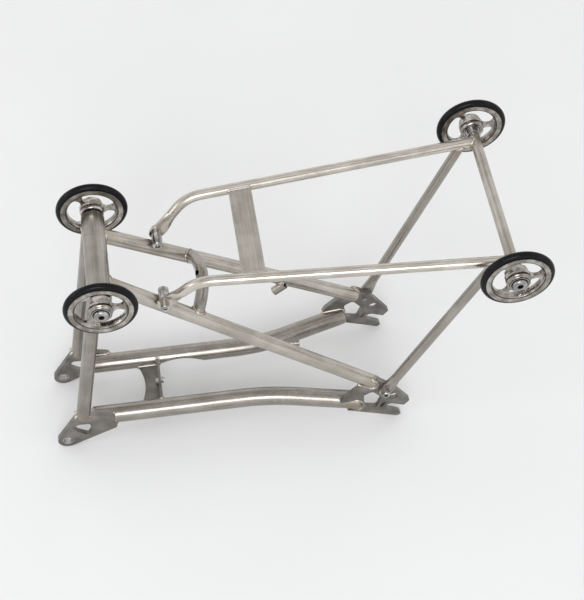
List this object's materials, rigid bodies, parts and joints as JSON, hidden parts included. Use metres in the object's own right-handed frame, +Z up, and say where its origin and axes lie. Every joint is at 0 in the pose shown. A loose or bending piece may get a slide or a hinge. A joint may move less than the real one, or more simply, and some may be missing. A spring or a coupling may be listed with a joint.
{
  "type": "folding bicycle rear frame",
  "caption": "Hinged rear frame of a folding bicycle in bare titanium tube, with plate dropouts, pivot plates, a luggage rack and spinning roller wheels.",
  "frame": {"origin": "middle of the main pivot axis, halfway between the two pivot plates", "axes": "+X backwards along the bicycle to the rear axle and the rack's end, +Y along the pivot axis to the rider's right, +Z up"},
  "size_m": [0.4773, 0.2142, 0.2798],
  "materials": {
    "brushed_titanium": "satin brushed bare titanium tube",
    "blasted_titanium": "matte bead-blasted titanium plate",
    "polished_steel": "polished stainless steel",
    "turned_aluminium": "turned aluminium",
    "polished_aluminium": "polished aluminium",
    "black_rubber": "smooth glossy black rubber",
    "black_plastic": "black plastic seal ring"
  },
  "bodies": {
    "frame": {"cross_tube": "brushed_titanium", "pivot_plate_left": "blasted_titanium", "pivot_plate_right": "blasted_titanium", "pivot_bush_left": "polished_steel", "pivot_bush_right": "polished_steel", "dropout_left": "blasted_titanium", "dropout_right": "blasted_titanium", "front_strut_left": "brushed_titanium", "front_strut_right": "brushed_titanium", "seatstay_left": "brushed_titanium", "seatstay_right": "brushed_titanium", "chainstay_left": "brushed_titanium", "chainstay_right": "brushed_titanium", "rack_boss_left": "brushed_titanium", "rack_boss_right": "brushed_titanium", "rack_side_tube_left": "brushed_titanium", "rack_side_tube_right": "brushed_titanium", "rack_stay_left": "brushed_titanium", "rack_stay_right": "brushed_titanium", "brake_bridge": "brushed_titanium", "chainstay_yoke": "blasted_titanium", "yoke_bolt": "polished_steel", "yoke_nut": "polished_steel", "rack_rear_tube": "brushed_titanium", "rack_plate": "blasted_titanium", "lamp_plate": "blasted_titanium", "cable_stop": "brushed_titanium", "cable_guide": "brushed_titanium", "rack_front_bolts": "polished_steel", "rack_stay_bolts": "polished_steel", "front_wheel_bolts": "polished_steel", "front_washers": "polished_steel", "front_spacers": "polished_steel", "front_plugs": "turned_aluminium", "rear_wheel_bolts": "polished_steel", "rear_washers": "polished_steel", "rear_spacers": "polished_steel", "rear_plugs": "turned_aluminium"},
    "front_wheel_left": {"front_rim_left": "polished_aluminium", "front_tyre_left": "black_rubber", "front_bearings_left": "polished_steel", "front_seals_left": "black_plastic"},
    "front_wheel_right": {"front_rim_right": "polished_aluminium", "front_tyre_right": "black_rubber", "front_bearings_right": "polished_steel", "front_seals_right": "black_plastic"},
    "rear_wheel_left": {"rear_rim_left": "polished_aluminium", "rear_tyre_left": "black_rubber", "rear_bearings_left": "polished_steel", "rear_seals_left": "black_plastic"},
    "rear_wheel_right": {"rear_rim_right": "polished_aluminium", "rear_tyre_right": "black_rubber", "rear_bearings_right": "polished_steel", "rear_seals_right": "black_plastic"}
  },
  "joints": [
    {"name": "front_wheel_left_spin", "type": "hinge", "parent": "frame", "child": "front_wheel_left", "pos_m": [0.0608, -0.0602, 0.2267], "axis": [0, 1, 0], "continuous": true},
    {"name": "front_wheel_right_spin", "type": "hinge", "parent": "frame", "child": "front_wheel_right", "pos_m": [0.0608, 0.0602, 0.2267], "axis": [0, 1, 0], "continuous": true},
    {"name": "rear_wheel_left_spin", "type": "hinge", "parent": "frame", "child": "rear_wheel_left", "pos_m": [0.4333, -0.0962, 0.2358], "axis": [0, 1, 0], "continuous": true},
    {"name": "rear_wheel_right_spin", "type": "hinge", "parent": "frame", "child": "rear_wheel_right", "pos_m": [0.4333, 0.0962, 0.2358], "axis": [0, 1, 0], "continuous": true}
  ]
}
